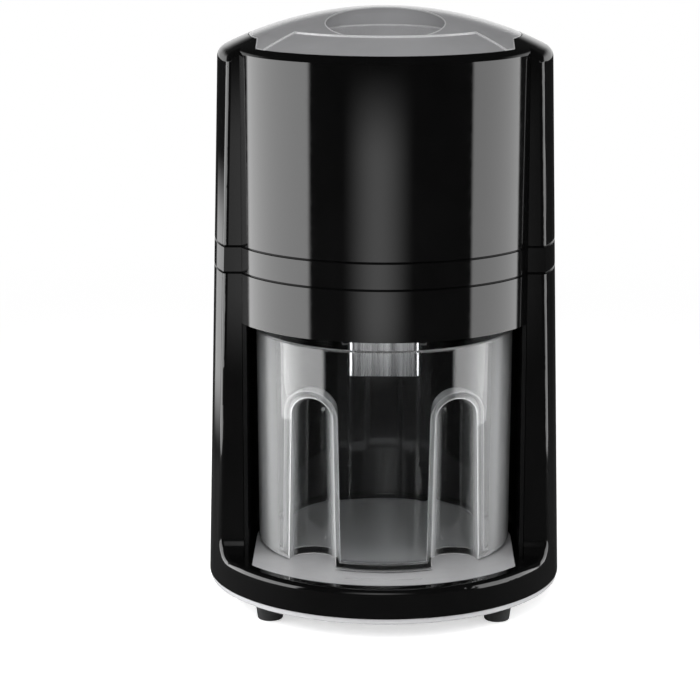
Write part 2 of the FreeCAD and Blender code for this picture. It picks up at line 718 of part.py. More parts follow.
def sector(sketch, inner, outer, angle, grow="0"):
    """A ring's stretch about the front, widened by an equal gap at both ends."""
    turn = f"({angle} * 1 deg + {grow} / ({outer}) * 1 rad)"
    corners = (
        (f"-({inner}) * sin({turn})", f"-({inner}) * cos({turn})"),
        (f"-({outer}) * sin({turn})", f"-({outer}) * cos({turn})"),
        (f"({outer}) * sin({turn})", f"-({outer}) * cos({turn})"),
        (f"({inner}) * sin({turn})", f"-({inner}) * cos({turn})"),
    )
    return outline(sketch, corners, {1: outer, 3: f"-({inner})"})


def make_upper_housing():
    body = new_body("upper_housing")
    edge_radius = side_radius(dome_height(side_radius("seam_level")))
    edge_level = dome_height(edge_radius)
    sketch = sketch_on(body, "XZ_Plane")
    corners = (
        ("0", "collar_top"),
        (side_radius("collar_top"), "collar_top"),
        (edge_radius, edge_level),
        ("0", "overall_height"),
    )
    revolve(body, outline(sketch, corners, {2: "dome_radius"}))
    shoulder = value(edge_radius)
    half_height = value("overall_height - collar_top") / 2

    def shoulder_edge(edge):
        return abs(distance_from_axis(edge) - shoulder) < 0.05 and edge.BoundBox.ZLength < 0.1

    def cheek_edge(edge):
        box = edge.BoundBox
        on_plane = abs(box.YMin + value("cheek_plane")) < 0.05 and abs(box.YMax + value("cheek_plane")) < 0.05
        return on_plane and box.ZLength > half_height

    round_edges(body, shoulder_edge, "shoulder_round")
    cut_front(body, "collar_top", "overall_height")
    round_edges(body, cheek_edge, "cheek_round")
    sketch = sketch_on(body, "XZ_Plane")
    # the drum's top edge is rounded into the dome
    middle = "(dome_radius - drum_round)"
    middle = f"(dome_middle + sqrt({middle}^2 - (drum_radius - drum_round)^2))"
    share = "dome_radius / (dome_radius - drum_round)"
    corners = (
        ("0", "collar_top"),
        ("drum_radius", "collar_top"),
        ("drum_radius", middle),
        (f"(drum_radius - drum_round) * {share}", f"dome_middle + ({middle} - dome_middle) * {share}"),
        ("0", "overall_height"),
    )
    revolve(body, outline(sketch, corners, {2: "drum_round", 3: "dome_radius"}))
    # one hollow under the dome, wider behind the cheeks
    sketch = sketch_on(body, "XZ_Plane")
    ceiling = "(dome_radius - shell_wall)"
    corners = (
        ("0", "collar_top"),
        ("head_bore", "collar_top"),
        ("head_bore", dome_height("head_bore", "shell_wall")),
        ("0", f"dome_middle + {ceiling}"),
    )
    groove(body, outline(sketch, corners, {2: ceiling}))
    sketch = sketch_on(body, "YZ_Plane")
    inner = f"({edge_radius} - shell_wall)"
    ceiling = "(dome_radius - 2 * shell_wall)"
    corners = (
        ("0", "collar_top"),
        (f"{side_radius('collar_top')} - shell_wall", "collar_top"),
        (inner, dome_height(inner, "2 * shell_wall")),
        ("0", f"dome_middle + {ceiling}"),
    )
    groove(body, outline(sketch, corners, {2: ceiling}), "360 - 2 * cheek_angle")
    lid_opening(body, "overall_height", f"overall_height - {dome_height('hopper_flange', 'shell_wall')} + 1")
    bevel_parting_line(body, "collar_top")
    return keep("upper_housing", body)


# ---------------------------------------------------------------- base, tray, bay and feet


def make_base_plate():
    body = new_body("base_plate")
    radius = "(base_radius - plate_margin)"
    pad(body, circle(sketch_on(body, "XY_Plane", "foot_height"), radius), "plate_thickness")
    lip = sketch_on(body, "XY_Plane", "ring_bottom")
    circle(lip, "under_radius - slip")
    circle(lip, "under_radius - slip - shell_wall")
    pad(body, lip, "plate_lip - slip")
    holes = sketch_on(body, "XY_Plane", "ring_bottom")
    for x, y in foot_places():
        circle(holes, "screw_hole", x, y)
    pocket(body, holes, "plate_thickness")
    low = value("foot_height")
    outside = value(radius)

    def rim(edge):
        return at_level(edge, low) and abs(distance_from_axis(edge) - outside) < 0.01

    round_edges(body, rim, "plate_edge")
    return keep("base_plate", body)


def make_foot(name, x, y):
    body = new_body(name)
    sketch = sketch_on(body, "XZ_Plane")
    corners = (
        ("foot_recess", "0"),
        ("foot_tip", "0"),
        ("foot_top", "foot_height"),
        ("screw_hole", "foot_height"),
        ("screw_hole", "foot_recess_depth"),
        ("foot_recess", "foot_recess_depth"),
    )
    revolve(body, outline(sketch, corners))
    tip = value("foot_tip")

    def outer_edge(edge):
        return at_level(edge, 0) and abs(distance_from_axis(edge) - tip) < 0.01

    round_edges(body, outer_edge, "foot_round")
    return keep(name, body, x=x, y=y)


def group(name, members, **place):
    """Separate equal solids kept as one node."""
    made = doc.addObject("Part::Compound", "Group_" + name)
    made.Links = members
    doc.recompute()
    return keep(name, made, **place)


def screw(name, length, direction, x, y, z):
    """A pan-head screw.  Its seat is at (x, y, z) and its shank points along direction."""
    head = doc.addObject("Part::Cylinder", "Head_" + name)
    head.setExpression("Radius", bound("screw_head"))
    head.setExpression("Height", bound("screw_head_height"))
    head.setExpression("Placement.Base.z", bound("-screw_head_height"))
    shank = doc.addObject("Part::Cylinder", "Shank_" + name)
    shank.setExpression("Radius", bound("screw_radius"))
    shank.setExpression("Height", bound(length))
    whole = doc.addObject("Part::Fuse", "Screw_" + name)
    whole.Base = head
    whole.Tool = shank
    whole.Placement = Placement(Vector(), Rotation(Vector(0, 0, 1), direction))
    whole.setExpression("Placement.Base.x", bound(x))
    whole.setExpression("Placement.Base.y", bound(y))
    whole.setExpression("Placement.Base.z", bound(z))
    return whole


def make_base_screws():
    up = Vector(0, 0, 1)
    places = enumerate(foot_places())
    screws = [screw(f"base_{i}", "base_screw_length", up, x, y, "foot_recess_depth") for i, (x, y) in places]
    return group("base_screws", screws)


def make_drip_tray():
    body = new_body("drip_tray")
    pad(body, tray_plan(sketch_on(body, "XY_Plane", "tray_bottom"), "0"), "tray_thickness")
    mark = sketch_on(body, "XY_Plane", "tray_top")
    sector(mark, "mark_radius - mark_width / 2", "mark_radius + mark_width / 2", "mark_angle / 2")
    pocket(body, mark, "mark_depth")
    return keep("drip_tray", body)


def make_bay_liner():
    body = new_body("bay_liner")
    plan = sketch_on(body, "XY_Plane", "rim_top")
    bay_plan(plan, "(liner_outer - slip)", "cheek_plane")
    pad(body, plan, "deck_bottom - rim_top")
    inside = bay_plan(sketch_on(body, "XY_Plane", "rim_top"), "liner_half_width", "(cheek_plane + 1)")
    pocket(body, inside, "deck_bottom - rim_top", up=True)
    # its top stands inside the ledge of the head
    rim = sketch_on(body, "XY_Plane", "head_bottom")
    circle(rim, "base_radius")
    circle(rim, "head_bore - deck_ledge - slip")
    pocket(body, rim, "deck_ledge", up=True)
    return keep("bay_liner", body)


def make_crusher_deck():
    body = new_body("crusher_deck")
    plan = sketch_on(body, "XY_Plane", "deck_bottom")
    circle(plan, "head_bore - slip")
    rectangle(plan, "(chute_half_width + chute_flare + slip)", "(chute_half_length + slip)")
    pad(body, plan, "deck_thickness")
    holes = sketch_on(body, "XY_Plane", "deck_top")
    for x, y in frame_screw_places():
        circle(holes, "screw_hole", x, y)
    pocket(body, holes, "deck_thickness")
    return keep("crusher_deck", body)


# ---------------------------------------------------------------- cup


def make_cup():
    """A round clear cup with two arched flutes pressed into its front and a slot in its back."""

    def turned(name, corners, arcs):
        body = new_body(name)
        revolve(body, outline(sketch_on(body, "XZ_Plane"), corners, arcs))
        return body

    def wall_radius(level, inward="0"):
        return f"(cup_foot_radius - {inward} + (cup_rim_radius - cup_foot_radius) * ({level}) / cup_height)"

    def flute(name, side, grow):
        """Round-backed channel with an arched top, open to the front."""
        x = f"({side} * flute_offset)"
        foot = f"(flute_foot_radius + {grow})"
        crown = f"(flute_head_radius + {grow})"
        spring = "(flute_height - flute_head_radius)"
        back = "(-flute_depth - flute_foot_radius)"
        column = doc.addObject("Part::Cone", "Column_" + name)
        column.setExpression("Radius1", bound(foot))
        column.setExpression("Radius2", bound(crown))
        column.setExpression("Height", bound(f"{spring} + 1"))
        column.Placement = Placement()
        column.setExpression("Placement.Base.x", bound(x))
        column.setExpression("Placement.Base.y", bound(back))
        column.setExpression("Placement.Base.z", bound("-1"))
        mouth = doc.addObject("Part::Wedge", "Mouth_" + name)
        mouth.Placement = Placement(Vector(), Rotation(Vector(1, 0, 0), 90))
        for edge, text in (
            ("Xmin", f"-{foot}"), ("Xmax", foot), ("X2min", f"-{crown}"), ("X2max", crown),
            ("Ymin", "0"), ("Ymax", f"{spring} + 1"),
            ("Zmin", "0"), ("Zmax", "cup_rim_radius"), ("Z2min", "0"), ("Z2max", "cup_rim_radius"),
        ):
            mouth.setExpression(edge, bound(text))
        mouth.setExpression("Placement.Base.x", bound(x))
        mouth.setExpression("Placement.Base.y", bound(back))
        mouth.setExpression("Placement.Base.z", bound("-1"))
        ball = doc.addObject("Part::Sphere", "Ball_" + name)
        ball.setExpression("Radius", bound(crown))
        ball.setExpression("Placement.Base.x", bound(x))
        ball.setExpression("Placement.Base.y", bound(back))
        ball.setExpression("Placement.Base.z", bound(spring))
        arch = doc.addObject("Part::Cylinder", "Arch_" + name)
        arch.Placement = Placement(Vector(), Rotation(Vector(1, 0, 0), 90))
        arch.setExpression("Radius", bound(crown))
        arch.setExpression("Height", bound("cup_rim_radius"))
        arch.setExpression("Placement.Base.x", bound(x))
        arch.setExpression("Placement.Base.y", bound(back))
        arch.setExpression("Placement.Base.z", bound(spring))
        whole = doc.addObject("Part::MultiFuse", "Flute_" + name)
        whole.Shapes = [column, mouth, ball, arch]
        return whole

    def cut(name, base, tool):
        made = doc.addObject("Part::Cut", name)
        made.Base = base
        made.Tool = tool
        return made

    brim = "(cup_height - cup_rim_round)"
    corners = (
        ("0", "0"),
        ("cup_foot_radius - cup_foot_round", "0"),
        (wall_radius("cup_foot_round"), "cup_foot_round"),
        (wall_radius(brim), brim),
        (f"{wall_radius(brim)} - cup_rim_round", "cup_height"),
        ("0", "cup_height"),
    )
    outside = turned("CupOutside", corners, {1: "cup_foot_round * 1.001", 3: "cup_rim_round"})
    bend = "(cup_floor + cup_foot_round)"
    inner_brim = wall_radius(brim, "cup_wall")
    corners = (
        ("0", "cup_floor"),
        (f"{wall_radius(bend, 'cup_wall')} - cup_foot_round", "cup_floor"),
        (wall_radius(bend, "cup_wall"), bend),
        (inner_brim, brim),
        (f"{inner_brim} + cup_rim_round", "cup_height"),
        (f"{inner_brim} + cup_rim_round", "cup_height + 1"),
        ("0", "cup_height + 1"),
    )
    inside = turned("CupInside", corners, {1: "cup_foot_round", 3: "-cup_rim_round"})
    for side in (-1, 1):
        hand = "left" if side < 0 else "right"
        outside = cut("CupOuter_" + hand, outside, flute("outer_" + hand, side, "0"))
        inside = cut("CupInner_" + hand, inside, flute("inner_" + hand, side, "cup_wall"))
    shell = cut("CupShell", outside, inside)
    notch = doc.addObject("Part::Box", "CupNotch")
    notch.setExpression("Length", bound("2 * notch_half_width"))
    notch.setExpression("Width", bound("cup_rim_radius"))
    notch.setExpression("Height", bound("notch_depth + 5"))
    notch.setExpression("Placement.Base.x", bound("-notch_half_width"))
    notch.setExpression("Placement.Base.z", bound("cup_height - notch_depth"))
    whole = cut("CupWhole", shell, notch)
    doc.recompute()
    return keep("cup", whole, z="tray_top")


# ---------------------------------------------------------------- chute and crushing mechanism


def make_chute():
    body = new_body("chute")

    def rounded(sketch, half_x, half_y, corner):
        corners = []
        for sx, sy, swap in ((1, -1, False), (1, 1, True), (-1, 1, False), (-1, -1, True)):
            near_x = (f"{sx} * {half_x}", f"{sy} * ({half_y} - {corner})")
            near_y = (f"{sx} * ({half_x} - {corner})", f"{sy} * {half_y}")
            corners += [near_x, near_y] if swap else [near_y, near_x]
        return outline(sketch, corners, {0: corner, 2: corner, 4: corner, 6: corner})

    def funnel(kind, inward):
        """The flared mouth.  Returns a sketch for the straight part below it."""
        corner = f"(chute_corner - {inward})"
        narrow = (f"(chute_half_width - {inward})", f"(chute_half_length - {inward})", corner)
        wide = (f"(chute_half_width + chute_flare - {inward})", f"(chute_half_length - {inward})", corner)
        bottom = rounded(sketch_on(body, "XY_Plane", "chute_bend"), *narrow)
        top = rounded(sketch_on(body, "XY_Plane", "frame_bottom"), *wide)
        loft = body.newObject("PartDesign::" + kind, kind)
        loft.Profile = bottom
        loft.Sections = [top]
        loft.Ruled = True
        body.Tip = loft
        doc.recompute()
        return rounded(sketch_on(body, "XY_Plane", "chute_bend"), *narrow)

    straight = funnel("AdditiveLoft", "0")
    pad(body, straight, "chute_bend - chute_bottom", down=True)
    flange = sketch_on(body, "XY_Plane", "deck_top")
    rectangle(flange, "(frame_outer_width + frame_lug)", "frame_outer_length")
    for x, y in frame_screw_places():
        circle(flange, "screw_hole", x, y)
    pad(body, flange, "sheet")
    straight = funnel("SubtractiveLoft", "sheet")
    pocket(body, straight, "chute_bend - chute_bottom")
    return keep("chute", body)


def frame_screw_places():
    """Plan positions of the screws that hold the frame to the deck."""
    x = "(frame_outer_width + frame_lug - frame_hole_inset)"
    y = "(frame_half_length - frame_hole_inset)"
    return ((f"-{x}", f"-{y}"), (x, f"-{y}"), (f"-{x}", y), (x, y))


def make_crusher_frame():
    body = new_body("crusher_frame")
    height = "(frame_top - frame_bottom)"
    plan = sketch_on(body, "XY_Plane", "frame_bottom")
    rectangle(plan, "frame_outer_width", "frame_outer_length")
    pad(body, plan, height)
    corner_distance = math.hypot(value("frame_outer_width"), value("frame_outer_length"))

    def upright(edge):
        return edge.BoundBox.ZLength > 1 and abs(distance_from_axis(edge) - corner_distance) < 0.1

    round_edges(body, upright, "frame_corner")
    flange = sketch_on(body, "XY_Plane", "frame_bottom")
    rectangle(flange, "(frame_outer_width + frame_lug)", "frame_half_length")
    pad(body, flange, "frame_foot")
    inside = rectangle(sketch_on(body, "XY_Plane", "frame_bottom"), "frame_half_width", "frame_half_length")
    pocket(body, inside, height, up=True)
    holes = sketch_on(body, "XY_Plane", "frame_bottom")
    for x, y in frame_screw_places():
        circle(holes, "screw_hole", x, y)
    pocket(body, holes, "frame_foot", up=True)
    bores = circle(sketch_on(body, "XZ_Plane"), "bush_outer", "0", "axis_level")
    pocket(body, bores, "2 * frame_outer_length + 2", both=True)
    across = sketch_on(body, "YZ_Plane")
    for side in ("-1", "1"):
        circle(across, "screw_hole", f"{side} * comb_screw_y", "comb_screw_level")
    pocket(body, across, "2 * frame_outer_width + 2", both=True)
    return keep("crusher_frame", body)


def make_frame_screws():
    down = Vector(0, 0, -1)
    length = "(frame_foot + sheet + deck_thickness - screw_short)"
    top = "(frame_bottom + frame_foot)"
    places = enumerate(frame_screw_places())
    return group("frame_screws", [screw(f"frame_{i}", length, down, x, y, top) for i, (x, y) in places])


def make_comb_screws():
    screws = []
    for side in (-1, 1):
        for end in (-1, 1):
            seat = f"({side} * frame_outer_width)"
            name = f"comb_{(side + 1) // 2}{(end + 1) // 2}"
            direction = Vector(-side, 0, 0)
            place = (seat, f"({end} * comb_screw_y)", "comb_screw_level")
            screws.append(screw(name, "(frame_wall + comb_back - screw_short)", direction, *place))
    return group("comb_screws", screws)


def make_fixed_comb(name, side):
    """A spine on the frame's wall with fingers that stand between the blades."""
    body = new_body(name)
    plan = sketch_on(body, "XY_Plane", "comb_bottom")
    wall = f"{side} * frame_half_width"
    spine = f"{side} * (frame_half_width - comb_back)"
    reach = f"{side} * comb_reach"
    tip = "(finger_width / 2 - finger_taper)"
    corners = [(wall, "-comb_half_length"), (wall, "comb_half_length"), (spine, "comb_half_length")]
    for gap in range(BLADES - 2, -1, -1):
        middle = f"({gap - (BLADES - 2) / 2} * blade_pitch)"
        corners.append((spine, f"{middle} + finger_width / 2"))
        corners.append((reach, f"{middle} + {tip}"))
        corners.append((reach, f"{middle} - {tip}"))
        corners.append((spine, f"{middle} - finger_width / 2"))
    corners.append((spine, "-comb_half_length"))
    pad(body, outline(plan, corners), "comb_depth")
    holes = sketch_on(body, "YZ_Plane")
    for end in ("-1", "1"):
        circle(holes, "screw_hole", f"{end} * comb_screw_y", "comb_screw_level")
    pocket(body, holes, "2 * frame_half_width", up=side > 0)
    return keep(name, body)


def hexagon_outline(sketch, flats):
    corner = f"({flats} / sqrt(3))"
    corners = [(f"{corner} * cos({60 * k} * 1 deg)", f"{corner} * sin({60 * k} * 1 deg)") for k in range(6)]
    corners[0] = (corner, "0")
    corners[3] = (f"-{corner}", "0")
    return outline(sketch, corners)


def make_rotor_shaft():
    """Along its own Z: journal, hexagon for the blades, journal, and the square for the crank."""
    body = new_body("rotor_shaft")
    front = "(bush_face + 2 * end_gap + clip_thickness + shaft_nose)"
    inner = "(frame_half_length - end_gap)"
    journal = circle(sketch_on(body, "XY_Plane", f"-{front}"), "journal_radius")
    pad(body, journal, f"{front} + washer_start")
    pad(body, hexagon_outline(sketch_on(body, "XY_Plane", f"-{inner}"), "hexagon"), f"2 * {inner}")
    square_end = rectangle(sketch_on(body, "XY_Plane", "washer_start"), "(square / 2)", "(square / 2)")
    pad(body, square_end, "arm_end - washer_start - end_gap")
    tap = circle(sketch_on(body, "XY_Plane", "arm_end - end_gap"), "tap_radius + screw_gap")
    pocket(body, tap, "tap_depth + screw_short")
    ring = sketch_on(body, "XY_Plane", "-(bush_face + end_gap)")
    circle(ring, "journal_radius + 1")
    circle(ring, "groove_radius")
    pocket(body, ring, "clip_thickness + end_gap")
    return keep("rotor_shaft", body, turn=ALONG_SHAFT, z="axis_level")


def make_crush_blade(number):
    """A disc with hooked teeth, keyed on the hexagon and turned a little from the last one."""
    name = f"crush_blade_{number}"
    body = new_body(name)
    hub = circle(sketch_on(body, "XY_Plane"), "blade_root")
    pad(body, hub, "blade_thickness")
    tooth = sketch_on(body, "XY_Plane")
    top = "sqrt(blade_radius^2 - (tooth_lean + tooth_tip)^2)"
    corners = (
        ("-tooth_foot / 2", "blade_root - tooth_bite"),
        ("tooth_foot / 2", "blade_root - tooth_bite"),
        ("tooth_lean + tooth_tip", top),
        ("tooth_lean", top),
        ("tooth_lean - tooth_tip", "blade_root + tooth_hook"),
    )
    spike = pad(body, outline(tooth, corners), "blade_thickness")
    pattern = body.newObject("PartDesign::PolarPattern", "PolarPattern")
    pattern.Originals = [spike]
    pattern.Axis = (tooth, ["N_Axis"])
    pattern.Angle = 360
    pattern.Occurrences = 4
    body.Tip = pattern
    doc.recompute()
    key = hexagon_outline(sketch_on(body, "XY_Plane"), "(hexagon + 2 * hexagon_gap)")
    pocket(body, key, "blade_thickness", up=True)
    place = f"({number - (BLADES + 1) / 2} * blade_pitch - blade_thickness / 2)"
    turn = ALONG_SHAFT.multiply(Rotation(Vector(0, 0, 1), 60 * number))
    return keep(name, body, turn=turn, y=place, z="axis_level")


def make_blade_spacers():
    gap = "(blade_pitch - blade_thickness)"
    end = "(frame_half_length - blade_reach - end_gap)"
    spans = []
    for k in range(BLADES - 1):
        spans.append((f"({k - (BLADES - 1) / 2} * blade_pitch + blade_thickness / 2)", gap))
    spans.append(("blade_reach", end))
    spans.append(("(end_gap - frame_half_length)", end))
    members = []
    for index, (start, length) in enumerate(spans):
        outer = doc.addObject("Part::Cylinder", f"SpacerOuter_{index}")
        outer.setExpression("Radius", bound("spacer_radius"))
        inner = doc.addObject("Part::Cylinder", f"SpacerBore_{index}")
        inner.setExpression("Radius", bound("spacer_bore"))
        for part in (outer, inner):
            part.setExpression("Height", bound(length))
        ring = doc.addObject("Part::Cut", f"Spacer_{index}")
        ring.Base = outer
        ring.Tool = inner
        ring.setExpression("Placement.Base.z", bound(start))
        members.append(ring)
    return group("blade_spacers", members, turn=ALONG_SHAFT, z="axis_level")


def make_bush(name, start, flange_first):
    """A bush that fills the frame's wall, with its flange on the outside."""
    body = new_body(name)
    rim = "(bush_outer + bush_flange)"
    step = "bush_flange_thickness" if flange_first else "frame_wall"
    near, far = (rim, "bush_outer") if flange_first else ("bush_outer", rim)
    total = "(frame_wall + bush_flange_thickness)"
    bore = "bore_radius"
    corners = ((bore, "0"), (near, "0"), (near, step), (far, step), (far, total), (bore, total))
    revolve(body, outline(sketch_on(body, "XZ_Plane"), corners))
    return keep(name, body, turn=ALONG_SHAFT, y=start, z="axis_level")


def make_bearings():
    make_bush("front_bush", "(-bush_face)", True)
    make_bush("rear_bush", "frame_half_length", False)
    start = "(boss_start + seal_width)"
    housing = tube("housing_bush", "bush_outer", "bore_radius", f"boss_face - {start}")
    keep("housing_bush", housing, turn=ALONG_SHAFT, y=start, z="axis_level")
    seal = tube("shaft_seal", "seal_radius", "bore_radius", "seal_width")
    keep("shaft_seal", seal, turn=ALONG_SHAFT, y="boss_start", z="axis_level")
    washer = tube("thrust_washer", "washer_radius", "bore_radius", "washer_thickness")
    keep("thrust_washer", washer, turn=ALONG_SHAFT, y="washer_start", z="axis_level")


def make_retaining_ring():
    body = tube("retaining_ring", "clip_radius", "groove_radius + running_gap", "clip_thickness")
    slot = sketch_on(body, "XY_Plane")
    corners = (
        ("-clip_slot / 2", "0"),
        ("clip_slot / 2", "0"),
        ("clip_slot / 2", "clip_radius + 1"),
        ("-clip_slot / 2", "clip_radius + 1"),
    )
    pocket(body, outline(slot, corners), "clip_thickness", up=True)
    start = "(-bush_face - 1.5 * end_gap - clip_thickness)"
    return keep("retaining_ring", body, turn=ALONG_SHAFT, y=start, z="axis_level")


# ---------------------------------------------------------------- crank


def make_crank_arm():
    """A tapering arm that hangs from the hub; its own Z runs backward and its Y runs down."""
    body = new_body("crank_arm")
    plan = sketch_on(body, "XY_Plane", "arm_start")
    lean = "asin((arm_hub - arm_tip) / crank_throw)"
    corners = (
        (f"arm_hub * cos({lean})", f"arm_hub * sin({lean})"),
        (f"arm_tip * cos({lean})", f"crank_throw + arm_tip * sin({lean})"),
        (f"-arm_tip * cos({lean})", f"crank_throw + arm_tip * sin({lean})"),
        (f"-arm_hub * cos({lean})", f"arm_hub * sin({lean})"),
    )
    outline(plan, corners, {1: "arm_tip"})
    pad(body, plan, "arm_thickness")
    pad(body, circle(sketch_on(body, "XY_Plane", "arm_start"), "arm_hub"), "arm_thickness")
    far = value("arm_end")
    round_edges(body, lambda edge: at_level(edge, far), "arm_round")
    insert = circle(sketch_on(body, "XY_Plane", "arm_end"), "insert_radius")
    pocket(body, insert, "arm_thickness")
    pin = circle(sketch_on(body, "XY_Plane", "arm_end"), "axle_radius", "0", "crank_throw")
    pocket(body, pin, "arm_thickness")
    return keep("crank_arm", body, turn=ALONG_SHAFT, z="axis_level")


def make_crank_fittings():
    insert = new_body("drive_insert")
    pad(insert, circle(sketch_on(insert, "XY_Plane"), "insert_radius"), "arm_thickness")
    hole = rectangle(sketch_on(insert, "XY_Plane"), "(square / 2 + square_gap)", "(square / 2 + square_gap)")
    pocket(insert, hole, "arm_thickness", up=True)
    keep("drive_insert", insert, turn=ALONG_SHAFT, y="arm_start", z="axis_level")

    bolt = new_body("crank_screw")
    sketch = sketch_on(bolt, "XZ_Plane")
    corners = (
        ("0", "-(tap_depth)"),
        ("tap_radius", "-(tap_depth)"),
        ("tap_radius", "0"),
        ("bolt_head", "0"),
        ("bolt_head", "bolt_rim"),
        ("0", "bolt_rim + bolt_dome"),
    )
    revolve(bolt, outline(sketch, corners, {4: "(bolt_head^2 + bolt_dome^2) / (2 * bolt_dome)"}))
    keep("crank_screw", bolt, turn=ALONG_SHAFT, y="arm_end", z="axis_level")


def make_knob():
    """The grip turns on a headed axle; both lie along the crank arm's lower end."""
    axle = new_body("knob_axle")
    sketch = sketch_on(axle, "XZ_Plane")
    corners = (
        ("0", "0"),
        ("axle_radius", "0"),
        ("axle_radius", "axle_neck"),
        ("axle_head", "axle_neck"),
        ("axle_head", "axle_neck + axle_head_height"),
        ("0", "axle_neck + axle_head_height"),
    )
    revolve(axle, outline(sketch, corners))
    keep("knob_axle", axle, turn=ALONG_SHAFT, y="arm_start", z="crank_level")

    knob = new_body("knob")
    sketch = sketch_on(knob, "XZ_Plane")
    bore = "(axle_radius + running_gap)"
    recess = "(axle_head + seat_gap)"
    seat = "(axle_neck - arm_thickness - 2 * end_gap)"
    corners = (
        (bore, "0"),
        ("knob_neck", "0"),
        ("knob_belly", "knob_belly_at"),
        ("knob_end", "knob_length - cap_thickness"),
        (recess, "knob_length - cap_thickness"),
        (recess, seat),
        (bore, seat),
    )
    revolve(knob, outline(sketch, corners, {1: "knob_swell", 2: "knob_fall"}))
    keep("knob", knob, turn=ALONG_SHAFT, y="knob_start", z="crank_level")

    cap = new_body("knob_cap")
    sketch = sketch_on(cap, "XZ_Plane")
    corners = (
        ("0", "0"),
        ("knob_end", "0"),
        ("knob_end - cap_bevel", "cap_bevel"),
        ("0", "cap_thickness"),
    )
    revolve(cap, outline(sketch, corners))
    keep("knob_cap", cap, turn=ALONG_SHAFT, y="(knob_start + knob_length - cap_thickness)", z="crank_level")


# ---------------------------------------------------------------- hopper and lid


def make_hopper_liner():
    body = new_body("hopper_liner")
    outer = "(hopper_mouth + hopper_wall)"
    low = "(hopper_throat + hopper_wall)"
    top_in = "(shell_wall + seat_gap)"
    flange_in = "(shell_wall + seat_gap + hopper_wall)"
    sketch = sketch_on(body, "XZ_Plane")
    corners = (
        ("0", "hopper_floor"),
        (low, "hopper_floor"),
        (outer, "hopper_knee"),
        (outer, dome_height(outer, flange_in)),
        ("hopper_flange", dome_height("hopper_flange", flange_in)),
        ("hopper_flange", dome_height("hopper_flange", top_in)),
        ("hopper_mouth", dome_height("hopper_mouth", top_in)),
        ("hopper_mouth", "hopper_knee"),
        ("hopper_throat", "hopper_floor + hopper_wall"),
        ("0", "hopper_floor + hopper_wall"),
    )
    arcs = {3: f"-(dome_radius - {flange_in})", 5: f"(dome_radius - {top_in})"}
    revolve(body, outline(sketch, corners, arcs))
    slot = rectangle(sketch_on(body, "XY_Plane", "hopper_floor"), "throat_half_width", "throat_half_length")
    pocket(body, slot, "2 * hopper_wall", up=True)
    return keep("hopper_liner", body)


def make_lid():
    body = new_body("lid")
    under = "(dome_radius - lid_wall)"
    blank = "(lip_radius + 1)"
    sketch = sketch_on(body, "XZ_Plane")
    corners = (
        (blank, dome_height(blank, "lid_wall")),
        (blank, dome_height(blank)),
        ("0", "overall_height"),
        ("0", f"dome_middle + {under}"),
    )
    revolve(body, outline(sketch, corners, {1: "dome_radius", 3: f"-{under}"}))
    # the well's wall and floor, trimmed to the dome
    floor = "(overall_height - well_floor)"
    boss = sketch_on(body, "XY_Plane", f"{floor} - lid_wall")
    circle(boss, "well_radius + lid_wall", "0", "-well_forward")
    pad(body, boss, "well_floor + lid_wall + 2")
    sketch = sketch_on(body, "XZ_Plane")
    reach = "(well_forward + well_radius + lid_wall + 2)"
    corners = (
        ("0", "overall_height"),
        (reach, dome_height(reach)),
        (reach, "overall_height + 5"),
        ("0", "overall_height + 5"),
    )
    groove(body, outline(sketch, corners, {0: "-dome_radius"}))
    well = circle(sketch_on(body, "XY_Plane", "overall_height + 5"), "well_radius", "0", "-well_forward")
    pocket(body, well, "well_floor + 5")
    # shallow front panel that runs out over the lip
    panel = sketch_on(body, "YZ_Plane")
    far = "(lip_radius + 2)"
    corners = (
        ("-panel_inner", dome_height("panel_inner", "panel_depth")),
        (f"-{far}", dome_height(far, "panel_depth")),
        (f"-{far}", "overall_height"),
        ("-panel_inner", "overall_height"),
    )
    groove(body, outline(panel, corners, {0: "(dome_radius - panel_depth)"}), "2 * panel_angle")
    # skirt that drops into the hopper
    skirt = sketch_on(body, "XZ_Plane")
    inner = "(skirt_radius - lid_wall)"
    level = dome_height("skirt_radius", "lid_wall")
    corners = (
        (inner, f"{level} - skirt_height"),
        ("skirt_radius", f"{level} - skirt_height"),
        ("skirt_radius", f"{level} + 1"),
        (inner, f"{level} + 1"),
    )
    revolve(body, outline(skirt, corners))
    # trimmed to its plan, with the lip in front
    rim = sketch_on(body, "XY_Plane", "overall_height")
    circle(rim, "lip_radius + 5")
    lid_plan(rim)
    pocket(body, rim, f"overall_height - {dome_height(blank, 'lid_wall')} + 1")
    round_lip(body)
    return keep("lid", body)


def make_lid_seal():
    level = f"({dome_height('skirt_radius', 'lid_wall')} - skirt_height)"
    seal = tube("lid_seal", "skirt_radius + seal_band", "skirt_radius", "seal_band_height")
    return keep("lid_seal", seal, z=f"({level} + seal_band)")


# ---------------------------------------------------------------- build and write


def build():
    make_lower_housing()
    make_collar_ring()
    make_upper_housing()
    make_base_plate()
    for name, (x, y) in zip(("front_left", "front_right", "rear_left", "rear_right"), foot_places()):
        make_foot("foot_" + name, x, y)
    make_base_screws()
    make_drip_tray()
    make_bay_liner()
    make_crusher_deck()
    make_chute()
    make_crusher_frame()
    make_frame_screws()
    make_fixed_comb("fixed_comb_left", -1)
    make_fixed_comb("fixed_comb_right", 1)
    make_comb_screws()
    make_rotor_shaft()
    for number in range(1, BLADES + 1):
        make_crush_blade(number)
    make_blade_spacers()
    make_bearings()
    make_retaining_ring()
    make_crank_arm()
    make_crank_fittings()
    make_knob()
    make_hopper_liner()
    make_lid()
    make_lid_seal()
    make_cup()


